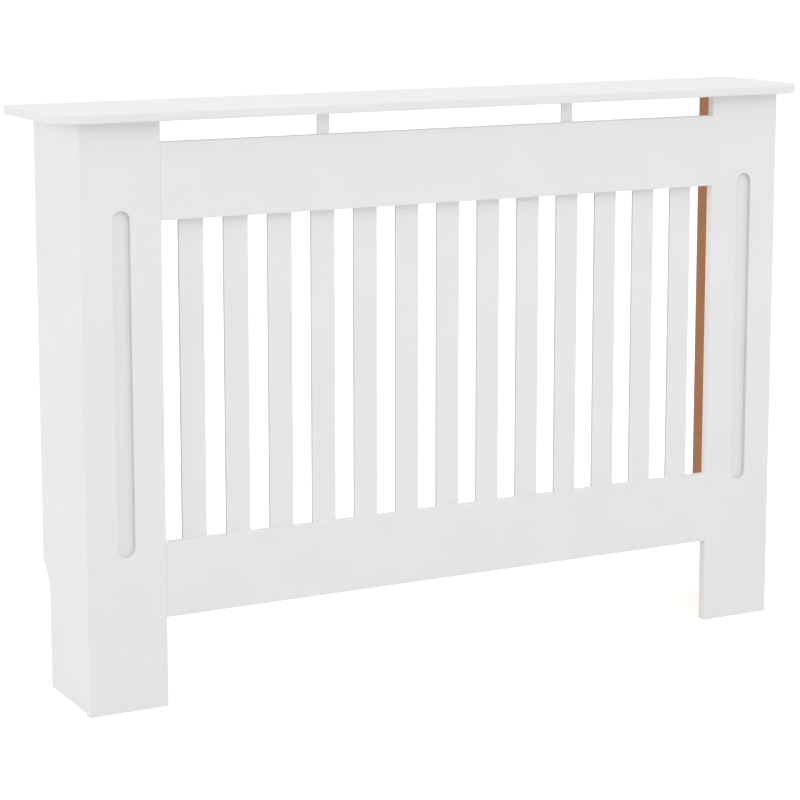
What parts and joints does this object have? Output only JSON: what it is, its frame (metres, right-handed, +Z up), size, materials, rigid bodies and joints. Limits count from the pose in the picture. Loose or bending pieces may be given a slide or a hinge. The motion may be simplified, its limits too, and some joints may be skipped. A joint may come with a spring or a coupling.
{
  "type": "radiator cover cabinet",
  "caption": "White painted radiator cover with a clipped-corner shelf, fluted leg fronts, side panels and an open grille of upright slats between two rails.",
  "frame": {"origin": "on the floor, below the middle of the shelf", "axes": "+X along the wall, to the right as seen from the room; +Y towards the wall; +Z up"},
  "size_m": [1.12, 0.19, 0.768],
  "materials": {
    "painted_mdf": "satin white paint on MDF",
    "raw_mdf": "bare MDF",
    "pine": "planed pine",
    "zinc_plate": "zinc plated steel"
  },
  "bodies": {
    "root": {"top_shelf": "painted_mdf", "left_leg_front": "painted_mdf", "right_leg_front": "painted_mdf", "left_side_panel": "painted_mdf", "right_side_panel": "painted_mdf", "top_rail": "painted_mdf", "bottom_rail": "painted_mdf", "slat_01": "painted_mdf", "slat_02": "painted_mdf", "slat_03": "painted_mdf", "slat_04": "painted_mdf", "slat_05": "painted_mdf", "slat_06": "painted_mdf", "slat_07": "painted_mdf", "slat_08": "painted_mdf", "slat_09": "painted_mdf", "slat_10": "painted_mdf", "slat_11": "painted_mdf", "slat_12": "painted_mdf", "slat_13": "painted_mdf", "left_shelf_support": "painted_mdf", "right_shelf_support": "painted_mdf", "left_corner_batten": "pine", "right_corner_batten": "pine", "left_shelf_cleat": "pine", "right_shelf_cleat": "pine", "bottom_left_joint_plate": "raw_mdf", "bottom_right_joint_plate": "raw_mdf", "top_left_joint_plate": "raw_mdf", "top_right_joint_plate": "raw_mdf", "left_wall_bracket": "zinc_plate", "right_wall_bracket": "zinc_plate", "bottom_left_plate_screw_1": "zinc_plate", "bottom_left_plate_screw_2": "zinc_plate", "bottom_left_plate_screw_3": "zinc_plate", "bottom_left_plate_screw_4": "zinc_plate", "bottom_right_plate_screw_1": "zinc_plate", "bottom_right_plate_screw_2": "zinc_plate", "bottom_right_plate_screw_3": "zinc_plate", "bottom_right_plate_screw_4": "zinc_plate", "top_left_plate_screw_1": "zinc_plate", "top_left_plate_screw_2": "zinc_plate", "top_left_plate_screw_3": "zinc_plate", "top_left_plate_screw_4": "zinc_plate", "top_right_plate_screw_1": "zinc_plate", "top_right_plate_screw_2": "zinc_plate", "top_right_plate_screw_3": "zinc_plate", "top_right_plate_screw_4": "zinc_plate", "left_cleat_screw_1": "zinc_plate", "left_cleat_screw_2": "zinc_plate", "right_cleat_screw_1": "zinc_plate", "right_cleat_screw_2": "zinc_plate", "left_support_screw_1": "zinc_plate", "left_support_screw_2": "zinc_plate", "right_support_screw_1": "zinc_plate", "right_support_screw_2": "zinc_plate", "left_bracket_screw_1": "zinc_plate", "left_bracket_screw_2": "zinc_plate", "right_bracket_screw_1": "zinc_plate", "right_bracket_screw_2": "zinc_plate"}
  },
  "joints": []
}
